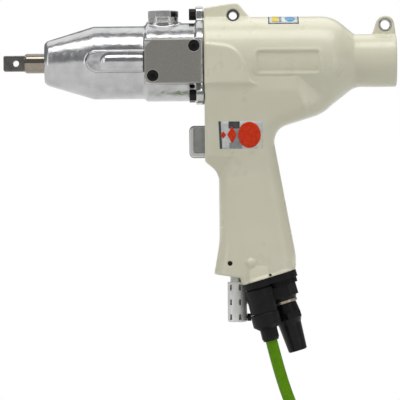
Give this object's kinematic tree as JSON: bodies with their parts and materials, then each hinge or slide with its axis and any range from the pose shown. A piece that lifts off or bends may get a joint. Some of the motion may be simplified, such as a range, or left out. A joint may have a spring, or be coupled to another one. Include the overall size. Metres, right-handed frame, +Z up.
{
  "type": "pneumatic impulse wrench",
  "caption": "Pistol-grip pneumatic impulse tool with a square drive, suspension eyes, air inlet swivel, silencer and signal cable.",
  "frame": {"origin": "centre of the front suspension eye, in the middle plane of the tool", "axes": "+X to the rear along the drive line, with the drive square at the -X end; +Z up; the operator's left side, with the electronics cover, faces -Y"},
  "size_m": [0.2394, 0.1239, 0.3076],
  "materials": {
    "ivory_paint": "glossy ivory enamel over a casting",
    "cast_aluminium": "bare casting, polished by hand and slightly rippled",
    "cover_plate": "milled and blasted plate",
    "trigger_metal": "satin",
    "plated_steel": "bright zinc plating",
    "bright_steel": "ground",
    "end_plate_iron": "machined",
    "black_steel": "black oxide",
    "black_plate": "satin black",
    "black_plastic": "moulded",
    "rear_plug_metal": "ivory enamel",
    "vane_resin": "laminated resin",
    "bronze": "turned bronze",
    "copper": "copper",
    "seal_rubber": "matt",
    "circuit_board": "solder mask",
    "silencer_felt": "pressed felt",
    "green_cable": "bright green jacket",
    "tie_strap": "matt strap"
  },
  "bodies": {
    "root": {"motor_housing": "ivory_paint", "clutch_case": "cast_aluminium", "side_cover": "cover_plate", "oil_plug": "plated_steel", "silencer_sleeve": "plated_steel", "silencer_neck": "plated_steel", "eye_bush": "plated_steel", "trigger_spring": "bright_steel", "valve_spring": "bright_steel", "shut_off_spring": "bright_steel", "front_bearing": "bright_steel", "rear_bearing": "bright_steel", "motor_cylinder": "bright_steel", "retaining_ring": "bright_steel", "inlet_strainer": "bright_steel", "front_end_plate": "end_plate_iron", "rear_end_plate": "end_plate_iron", "flange_screws": "black_steel", "side_cover_screws": "black_steel", "base_screws": "black_steel", "silencer_screws": "black_steel", "grip_screws": "black_steel", "inlet_bushing": "black_steel", "base_plate": "black_plate", "connector_receptacle": "black_plastic", "connector_shell": "black_plastic", "cable_clamp": "black_plastic", "far_plug_back": "black_plastic", "far_plug_sleeve": "black_plastic", "rear_plug": "rear_plug_metal", "nose_bush": "bronze", "valve_sleeve": "bronze", "plug_washer": "copper", "torque_coil": "copper", "shut_off_coil": "copper", "nose_seal": "seal_rubber", "flange_gasket": "seal_rubber", "sensor_board": "circuit_board", "angle_sensor": "circuit_board", "silencer_felt": "silencer_felt", "cable_tube": "green_cable", "cable_coil": "green_cable", "cable_tail": "green_cable", "coil_tie": "tie_strap"},
    "motor": {"rotor": "bright_steel", "rotor_vanes": "vane_resin", "liner_front_plate": "bright_steel", "pulse_liner": "bright_steel", "liner_rear_plate": "bright_steel", "encoder_ring": "bright_steel"},
    "anvil": {"anvil": "bright_steel", "pulse_blades": "bright_steel", "blade_springs": "bright_steel"},
    "trigger": {"trigger": "trigger_metal", "trigger_rod": "bright_steel", "throttle_valve": "vane_resin"},
    "shut_off_plunger": {"shut_off_plunger": "bright_steel"},
    "swivel": {"swivel_body": "black_steel", "swivel_seal": "seal_rubber"},
    "coupling_nut": {"coupling_nut": "black_plastic"}
  },
  "joints": [
    {"name": "motor_spin", "type": "hinge", "parent": "root", "child": "motor", "pos_m": [0, 0, -0.028], "axis": [1, 0, 0], "continuous": true},
    {"name": "drive_spin", "type": "hinge", "parent": "root", "child": "anvil", "pos_m": [0, 0, -0.028], "axis": [1, 0, 0], "continuous": true},
    {"name": "trigger_slide", "type": "slide", "parent": "root", "child": "trigger", "axis": [1, 0, 0], "range_m": [0, 0.0055], "stiffness_N_per_m": 1800, "springref_m": -0.0015, "deforming": ["trigger_spring", "valve_spring"]},
    {"name": "shut_off_slide", "type": "slide", "parent": "root", "child": "shut_off_plunger", "axis": [-1, 0, 0], "range_m": [0, 0.0025], "stiffness_N_per_m": 600, "springref_m": -0.001, "deforming": ["shut_off_spring"]},
    {"name": "swivel_spin", "type": "hinge", "parent": "root", "child": "swivel", "pos_m": [0.02449, 0.0058, -0.15827], "axis": [0.2815, 0, -0.9596], "continuous": true},
    {"name": "coupling_nut_turn", "type": "hinge", "parent": "root", "child": "coupling_nut", "pos_m": [0.01278, -0.0092, -0.1617], "axis": [0.2368, 0, -0.9716], "range_deg": [0, 120]}
  ]
}
